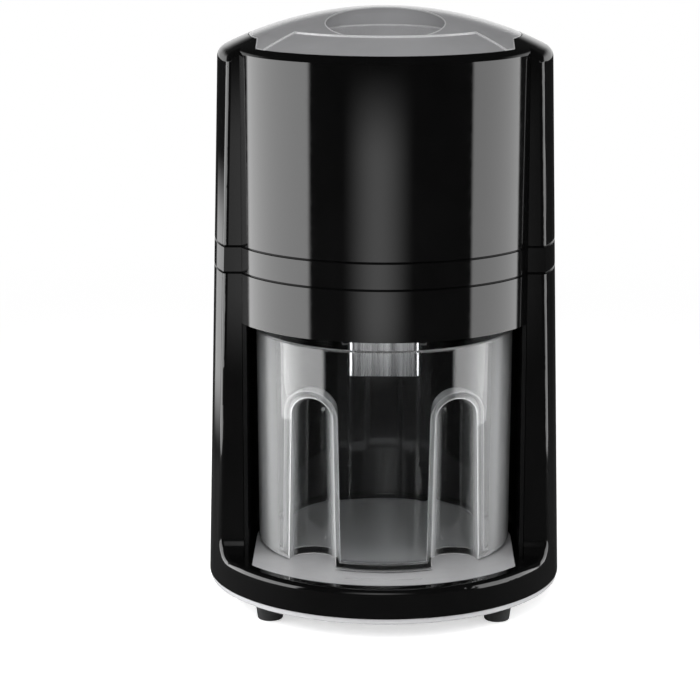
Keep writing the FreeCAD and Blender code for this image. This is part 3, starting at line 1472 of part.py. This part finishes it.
def check_and_write():
    doc.recompute()
    for thing in doc.Objects:
        bad = [state for state in thing.State if state in ("Invalid", "Error")]
        assert not bad, f"{thing.Name} ({thing.Label}) is {bad}"
    for name, thing in PIECES.items():
        shape = thing.Shape
        assert not shape.isNull() and shape.isValid(), f"{name} has no valid shape"
        assert shape.Volume > 0, f"{name} has no volume"
    for name, thing in PIECES.items():
        thing.Shape.exportStep(f"parts/{name}.step")
        print(f"{name}: {len(thing.Shape.Solids)} solid(s), {thing.Shape.Volume:.1f} mm3")


build()
check_and_write()
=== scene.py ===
import json
import math

import bpy
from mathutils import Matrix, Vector

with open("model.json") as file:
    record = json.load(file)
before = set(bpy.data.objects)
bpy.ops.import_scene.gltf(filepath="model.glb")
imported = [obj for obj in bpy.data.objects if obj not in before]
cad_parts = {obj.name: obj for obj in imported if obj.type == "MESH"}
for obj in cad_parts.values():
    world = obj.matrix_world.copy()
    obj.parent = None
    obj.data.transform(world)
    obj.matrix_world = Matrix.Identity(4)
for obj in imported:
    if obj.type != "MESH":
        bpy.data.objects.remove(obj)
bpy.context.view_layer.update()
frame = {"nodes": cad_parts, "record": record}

# Lengths are in metres, as in the frame, and angles of lamps in degrees.
MM = 0.001
AXIS_Y = -22.61 * MM  # the drum's upright axis, which the lamps and the camera stand round
WHITE = (1, 1, 1, 1)

RELIEF = 0.0004  # depth that a bump of strength 1 stands for
GLOSS_GRAIN = 6  # how many times finer the roughness varies than the colour
# A near-white highlight is painted along sharp edges, more as a rounding there would turn the
# surface away. These are the turns where it begins and where it is whole, as 1 less their cosine.
EDGE_HIGHLIGHT_FAINT = 0.003
EDGE_HIGHLIGHT_FULL = 0.04
# near-white colour painted along sharp edges as a highlight
EDGE_HIGHLIGHT_COLOUR = (0.98, 0.98, 0.99, 1)

ROOM = 0.40  # plain light from all round
STUDIO = 0.03  # what gloss mirrors of the dark studio in front of and above the object
FLOOR_LIFT = 0.55  # what the camera sees of the floor beside its lit colour
FLOOR_IN_GLOSS = 0.05  # share of the floor's colour that gloss and metal mirror
FLOOR_SIZE = 12.0
FLOOR_DROP = 0.0002  # the floor lies this far below the feet, so the two don't flicker
FLOOR_SHADES = (0.80, 0.82)
# Distances from the origin over which the floor turns into the white backdrop.
FLOOR_ENDS = (0.30, 0.80)  # for the camera
FLOOR_ENDS_IN_GLOSS = (3.5, 4.5)
# Parts of a mirrored ray's direction over which the pale backdrop comes in.
BACKDROP_LOW = (0.28, 0.10)  # upwards
BACKDROP_BEHIND = (0.0, 0.5)  # backwards

# ---------------------------------------------------------------- nodes


def new_material(name):
    material = bpy.data.materials.new(name)
    material.use_nodes = True
    tree = material.node_tree
    return material, tree, tree.nodes["Principled BSDF"]


def add(tree, kind, **settings):
    node = tree.nodes.new(kind)
    for name, setting in settings.items():
        setattr(node, name, setting)
    return node


def feed(tree, socket, source):
    """Sets an input to a number, or links an output to it."""
    if isinstance(source, float):
        socket.default_value = source
    else:
        tree.links.new(source, socket)


def join(tree, node, *sources):
    """Feeds a node's inputs in their order, and gives its output."""
    for socket, source in zip(node.inputs, sources):
        feed(tree, socket, source)
    return node.outputs[0]


def maths(tree, operation, *sources):
    return join(tree, add(tree, "ShaderNodeMath", operation=operation), *sources)


def noise(tree, scale, detail=3.0, roughness=0.5, stretch=(1, 1, 1)):
    """Noise in the piece's own coordinates; a stretch below 1 draws it out along that axis."""
    where = add(tree, "ShaderNodeTexCoord")
    place = add(tree, "ShaderNodeMapping")
    place.inputs["Scale"].default_value = stretch
    texture = add(tree, "ShaderNodeTexNoise")
    texture.inputs["Scale"].default_value = scale
    texture.inputs["Detail"].default_value = detail
    texture.inputs["Roughness"].default_value = roughness
    tree.links.new(where.outputs["Object"], place.inputs["Vector"])
    tree.links.new(place.outputs["Vector"], texture.inputs["Vector"])
    return texture.outputs["Fac"]


def spread(tree, source, low, high, start=0.3, end=0.7):
    """Maps a signal to a range of values or colours, low at start and high at end."""
    ramp = add(tree, "ShaderNodeValToRGB")
    ramp.color_ramp.elements[0].position = start
    ramp.color_ramp.elements[1].position = end
    for element, shade in zip(ramp.color_ramp.elements, (low, high)):
        element.color = (*shade, 1) if isinstance(shade, tuple) else (shade, shade, shade, 1)
    tree.links.new(source, ramp.inputs["Fac"])
    return ramp.outputs["Color"]


def ramp_up(tree, source, start, end):
    """0 at start, 1 at end, with a soft curve between them."""
    reach = add(tree, "ShaderNodeMapRange", interpolation_type="SMOOTHSTEP")
    reach.inputs["From Min"].default_value = start
    reach.inputs["From Max"].default_value = end
    tree.links.new(source, reach.inputs["Value"])
    return reach.outputs["Result"]


def by_angle(tree, straight, grazing, start, end):
    """One value up to start and another from end, from 0 seen straight on to 1 seen edge on."""
    facing = add(tree, "ShaderNodeLayerWeight")
    facing.inputs["Blend"].default_value = 0.5
    return spread(tree, facing.outputs["Facing"], straight, grazing, start, end)


# ---------------------------------------------------------------- materials


def grey(level):
    """A neutral shade with a trace of blue."""
    return (level, level, level * 1.02)


def surface(
    name, low, high, rough, metallic=0.0, grain=40.0, stretch=(1, 1, 1),
    lumps=0.0, lump_scale=900.0, **sockets
):
    """Colour between two shades, roughness that varies on a finer scale, and a fine relief."""
    material, tree, shader = new_material(name)
    shades = noise(tree, grain, detail=4, roughness=0.6, stretch=stretch)
    gloss = noise(tree, grain * GLOSS_GRAIN, detail=3, roughness=0.6, stretch=stretch)
    tree.links.new(spread(tree, shades, low, high), shader.inputs["Base Color"])
    tree.links.new(spread(tree, gloss, *rough), shader.inputs["Roughness"])
    shader.inputs["Metallic"].default_value = metallic
    for socket, setting in sockets.items():
        shader.inputs[socket.replace("_", " ")].default_value = setting
    if lumps:
        bump = add(tree, "ShaderNodeBump")
        bump.inputs["Strength"].default_value = lumps
        bump.inputs["Distance"].default_value = RELIEF
        height = noise(tree, lump_scale, detail=2, roughness=0.5, stretch=stretch)
        tree.links.new(height, bump.inputs["Height"])
        tree.links.new(bump.outputs["Normal"], shader.inputs["Normal"])
    return material


def soften_grazing(material, straight, grazing):
    """Weakens the gloss where the surface is seen edge on."""
    tree = material.node_tree
    level = by_angle(tree, straight, grazing, start=0.60, end=0.80)
    tree.links.new(level, tree.nodes["Principled BSDF"].inputs["Specular IOR Level"])


def edge_highlight_mask(tree, radius):
    """1 along sharp edges, as far in as a moulded rounding of this radius would reach; it marks
    the painted edge highlight.
    """
    rounded = add(tree, "ShaderNodeBevel", samples=4)
    rounded.inputs["Radius"].default_value = radius
    plain = add(tree, "ShaderNodeNewGeometry")
    agree = add(tree, "ShaderNodeVectorMath", operation="DOT_PRODUCT")
    tree.links.new(rounded.outputs["Normal"], agree.inputs[0])
    tree.links.new(plain.outputs["Normal"], agree.inputs[1])
    return ramp_up(tree, agree.outputs["Value"], 1 - EDGE_HIGHLIGHT_FAINT, 1 - EDGE_HIGHLIGHT_FULL)


def mix(tree, kind, share, first, second):
    """Goes from the first value to the second as share goes from 0 to 1."""
    node = add(tree, "ShaderNodeMix", data_type=kind)
    ends = [socket for socket in node.inputs if socket.enabled and socket.name in ("A", "B")]
    tree.links.new(share, node.inputs["Factor"])
    tree.links.new(first, ends[0])
    ends[1].default_value = second
    return next(socket for socket in node.outputs if socket.enabled)


def glassy(material, straight, grazing, highlight_clear, radius):
    """Makes plastic less clear where it is seen edge on, as thick walls are, and paints a
    near-white highlight along its sharp edges, where it is less clear too.
    """
    tree = material.node_tree
    shader = tree.nodes["Principled BSDF"]
    # The mask marks sharp edges, where the plastic is made less clear and a near-white highlight
    # is painted into its colour.
    highlight_mask = edge_highlight_mask(tree, radius)
    clear = by_angle(tree, straight, grazing, start=0.25, end=0.75)
    clear = mix(tree, "FLOAT", highlight_mask, clear, highlight_clear)
    tree.links.new(clear, shader.inputs["Transmission Weight"])
    colour = shader.inputs["Base Color"].links[0].from_socket
    # painted highlight: the colour turns near-white along sharp edges
    colour = mix(tree, "RGBA", highlight_mask, colour, EDGE_HIGHLIGHT_COLOUR)
    tree.links.new(colour, shader.inputs["Base Color"])


METAL = {"metallic": 1.0}
# Material slot: darker and paler shade, range of roughness, and surface's other values.
LOOKS = {
    "black_gloss": (
        grey(0.0014), grey(0.0024), (0.04, 0.09), {"lumps": 0.015, "lump_scale": 120}
    ),
    "bay_black": (
        grey(0.004), grey(0.007), (0.10, 0.18),
        {"lumps": 0.02, "lump_scale": 120, "Specular_IOR_Level": 0.25}
    ),
    "hopper_grey": (grey(0.22), grey(0.26), (0.35, 0.45), {"lumps": 0.05}),
    "tray_grey": (grey(0.38), grey(0.42), (0.30, 0.40), {"lumps": 0.08, "lump_scale": 1600}),
    "plate_pale": (grey(0.50), grey(0.54), (0.30, 0.42), {"lumps": 0.05}),
    "deck_grey": (grey(0.05), grey(0.07), (0.35, 0.50), {"lumps": 0.08}),
    "rubber_dark": (grey(0.020), grey(0.035), (0.60, 0.75), {"lumps": 0.20, "lump_scale": 1400}),
    "seal_soft": (grey(0.06), grey(0.08), (0.55, 0.70), {"lumps": 0.15}),
    "screw_steel": (grey(0.45), grey(0.55), (0.22, 0.34), {**METAL, "grain": 300}),
    "blade_steel": (
        grey(0.55), grey(0.66), (0.22, 0.36), {**METAL, "grain": 120, "stretch": (1, 1, 8)}
    ),
    "sheet_steel": (
        grey(0.20), grey(0.90), (0.22, 0.34), {**METAL, "grain": 260, "stretch": (1, 1, 0.02)}
    ),
    "shaft_steel": (
        grey(0.50), grey(0.60), (0.18, 0.28), {**METAL, "grain": 90, "stretch": (1, 12, 1)}
    ),
    "cast_frame": (
        grey(0.48), grey(0.56), (0.40, 0.55),
        {**METAL, "grain": 200, "lumps": 0.3, "lump_scale": 2200}
    ),
    "bearing_bronze": (
        (0.42, 0.27, 0.11), (0.52, 0.34, 0.15), (0.32, 0.44), {**METAL, "grain": 500}
    ),
    "knob_black": (grey(0.010), grey(0.016), (0.16, 0.24), {"lumps": 0.04, "lump_scale": 500}),
    "smoke_clear": (grey(0.56), grey(0.62), (0.05, 0.10), {"IOR": 1.45}),
    "cup_clear": ((0.96, 0.97, 0.98), (0.98, 0.99, 0.99), (0.02, 0.04), {"IOR": 1.45}),
}
MATERIALS = {
    slot: surface(slot, low, high, rough, **others)
    for slot, (low, high, rough, others) in LOOKS.items()
}
soften_grazing(MATERIALS["black_gloss"], straight=0.5, grazing=0.08)
soften_grazing(MATERIALS["smoke_clear"], straight=0.5, grazing=0.05)
# The lid and the cup get a near-white highlight painted along their sharp edges, where they are
# this clear.
glassy(MATERIALS["smoke_clear"], straight=0.50, grazing=0.50, highlight_clear=0.25, radius=0.9 * MM)
glassy(MATERIALS["cup_clear"], straight=1.0, grazing=0.40, highlight_clear=0.35, radius=0.8 * MM)

for entry in frame["record"]["subparts"]:
    node = frame["nodes"][entry["node"]]
    node.data.materials.clear()
    node.data.materials.append(MATERIALS[entry["material_slot"]])

# ---------------------------------------------------------------- floor and backdrop


def rays(tree):
    """1 for rays that come straight or through glass, and 1 for rays mirrored on their way."""
    path = add(tree, "ShaderNodeLightPath")
    turned = maths(tree, "GREATER_THAN", path.outputs["Glossy Depth"], 0.5)
    through = path.outputs["Is Transmission Ray"]
    clear = maths(tree, "GREATER_THAN", through, turned)
    inside = maths(tree, "MULTIPLY", through, turned)
    straight = maths(tree, "MAXIMUM", path.outputs["Is Camera Ray"], clear)
    mirrored = maths(tree, "MAXIMUM", path.outputs["Is Glossy Ray"], inside)
    return straight, mirrored


def white_light(tree, kind, strength=1.0):
    """An Emission or Background of this strength, a number or an output."""
    node = add(tree, kind)
    node.inputs["Color"].default_value = WHITE
    feed(tree, node.inputs["Strength"], strength)
    return node.outputs[0]


def floor_material():
    """Pale floor that keeps the shadow and runs out into the white backdrop."""
    material, tree, shader = new_material("floor_pale")
    shader.inputs["Roughness"].default_value = 0.9
    straight, mirrored = rays(tree)
    pale = spread(tree, noise(tree, scale=3.0), *FLOOR_SHADES)
    dimmed = spread(tree, mirrored, 1.0, FLOOR_IN_GLOSS, start=0.0, end=1.0)
    tree.links.new(maths(tree, "MULTIPLY", pale, dimmed), shader.inputs["Base Color"])

    where = add(tree, "ShaderNodeTexCoord")
    length = add(tree, "ShaderNodeVectorMath", operation="LENGTH")
    tree.links.new(where.outputs["Object"], length.inputs[0])
    away = length.outputs["Value"]
    seen = maths(tree, "MULTIPLY", straight, ramp_up(tree, away, *FLOOR_ENDS))
    in_gloss = maths(tree, "MULTIPLY", mirrored, ramp_up(tree, away, *FLOOR_ENDS_IN_GLOSS))
    share = maths(tree, "MAXIMUM", seen, in_gloss)

    lift = white_light(tree, "ShaderNodeEmission", maths(tree, "MULTIPLY", straight, FLOOR_LIFT))
    lit = join(tree, add(tree, "ShaderNodeAddShader"), shader.outputs[0], lift)
    white = white_light(tree, "ShaderNodeEmission")
    shown = join(tree, add(tree, "ShaderNodeMixShader"), share, lit, white)
    tree.links.new(shown, tree.nodes["Material Output"].inputs["Surface"])
    return material


def flat_square(name, size, z):
    mesh = bpy.data.meshes.new(name)
    half = size / 2
    corners = [(-half, -half, z), (half, -half, z), (half, half, z), (-half, half, z)]
    mesh.from_pydata(corners, [], [(0, 1, 2, 3)])
    made = bpy.data.objects.new(name, mesh)
    bpy.context.scene.collection.objects.link(made)
    return made


def studio_world():
    """Plain light from all round, white for the camera, and for gloss a dark studio in front
    of a pale backdrop."""
    world = bpy.data.worlds.new("studio")
    bpy.context.scene.world = world
    world.use_nodes = True
    tree = world.node_tree
    tree.nodes.remove(tree.nodes["Background"])
    straight, mirrored = rays(tree)
    strength = spread(tree, mirrored, ROOM, STUDIO, start=0.0, end=1.0)
    room = white_light(tree, "ShaderNodeBackground", strength)
    white = white_light(tree, "ShaderNodeBackground")

    where = add(tree, "ShaderNodeTexCoord")
    split = add(tree, "ShaderNodeSeparateXYZ")
    tree.links.new(where.outputs["Generated"], split.inputs[0])
    low = ramp_up(tree, split.outputs["Z"], *BACKDROP_LOW)
    behind = ramp_up(tree, split.outputs["Y"], *BACKDROP_BEHIND)
    backdrop = maths(tree, "MULTIPLY", mirrored, maths(tree, "MULTIPLY", low, behind))
    share = maths(tree, "MAXIMUM", straight, backdrop)
    shown = join(tree, add(tree, "ShaderNodeMixShader"), share, room, white)
    tree.links.new(shown, tree.nodes["World Output"].inputs["Surface"])


floor = flat_square("floor", FLOOR_SIZE, -FLOOR_DROP)
floor.data.materials.append(floor_material())
studio_world()

# ---------------------------------------------------------------- lamps


def softbox(name, azimuth, distance, height, aim, width, tall, power):
    """An area lamp; azimuth 0 stands in front of the object, positive to the right."""
    data = bpy.data.lights.new(name, "AREA")
    data.shape = "RECTANGLE"
    data.size = width
    data.size_y = tall
    data.energy = power
    lamp = bpy.data.objects.new(name, data)
    turn = math.radians(azimuth)
    place = Vector((distance * math.sin(turn), AXIS_Y - distance * math.cos(turn), height))
    lamp.location = place
    towards = Vector((0, AXIS_Y, aim)) - place
    lamp.rotation_euler = towards.to_track_quat("-Z", "Y").to_euler()
    lamp.visible_camera = False
    bpy.context.scene.collection.objects.link(lamp)
    return lamp


def fade(lamp, side, end):
    """Lets a lamp's light die away towards its sides and its ends, in shares of its size."""
    lamp.data.use_nodes = True
    tree = lamp.data.node_tree
    shape = add(tree, "ShaderNodeNewGeometry")
    split = add(tree, "ShaderNodeSeparateXYZ")
    tree.links.new(shape.outputs["Parametric"], split.inputs[0])
    levels = []
    for axis, share in (("X", side), ("Y", end)):
        offset = maths(tree, "SUBTRACT", split.outputs[axis], 0.5)
        from_middle = maths(tree, "ABSOLUTE", offset)
        levels.append(ramp_up(tree, from_middle, 0.5, 0.5 - share))
    strength = maths(tree, "MULTIPLY", *levels)
    tree.links.new(strength, tree.nodes["Emission"].inputs["Strength"])


# The lamps that gloss mirrors, each level with what it aims at. The numbers are azimuth,
# distance, height, width, tall, brightness in a mirror, and how much fades at sides and ends.
MIRRORED_LAMPS = {
    "box_left": (-82, 0.34, 0.07, 0.42, 0.34, 4.3, 0.07, 0.07),
    "box_right": (84, 0.34, 0.07, 0.31, 0.34, 3.3, 0.07, 0.07),
    "box_rear_left": (-129, 0.28, 0.080, 0.16, 0.16, 1.5, 0.15, 0.30),
    "box_front": (-4, 0.25, 0.13, 0.22, 0.17, 1.45, 0.5, 0.3),
}
for name, row in MIRRORED_LAMPS.items():
    azimuth, distance, height, width, tall, brightness, side, end = row
    power = brightness * math.pi * width * tall
    fade(softbox(name, azimuth, distance, height, height, width, tall, power), side, end)

top = softbox("box_top", 0, 0.90, height=0.95, aim=0.12, width=1.0, tall=1.0, power=9.0)
top.visible_glossy = False
top.visible_transmission = False

# ---------------------------------------------------------------- camera

CAMERA_DISTANCE = 1.050  # in front of the drum's axis
CAMERA_HEIGHT = 0.341
CAMERA_DOWN = 0.2214  # radians below level
CAMERA_LEFT = 0.01386  # radians, so the object stands right of the middle as in the photograph

camera_data = bpy.data.cameras.new("camera")
camera_data.sensor_width = 36.0
camera_data.lens = 130.2
camera_data.clip_end = 50
camera = bpy.data.objects.new("camera", camera_data)
camera.location = (0, AXIS_Y - CAMERA_DISTANCE, CAMERA_HEIGHT)
camera.rotation_euler = (math.pi / 2 - CAMERA_DOWN, 0, CAMERA_LEFT)
bpy.context.scene.collection.objects.link(camera)
bpy.context.scene.camera = camera

bpy.context.scene.view_settings.view_transform = "Standard"
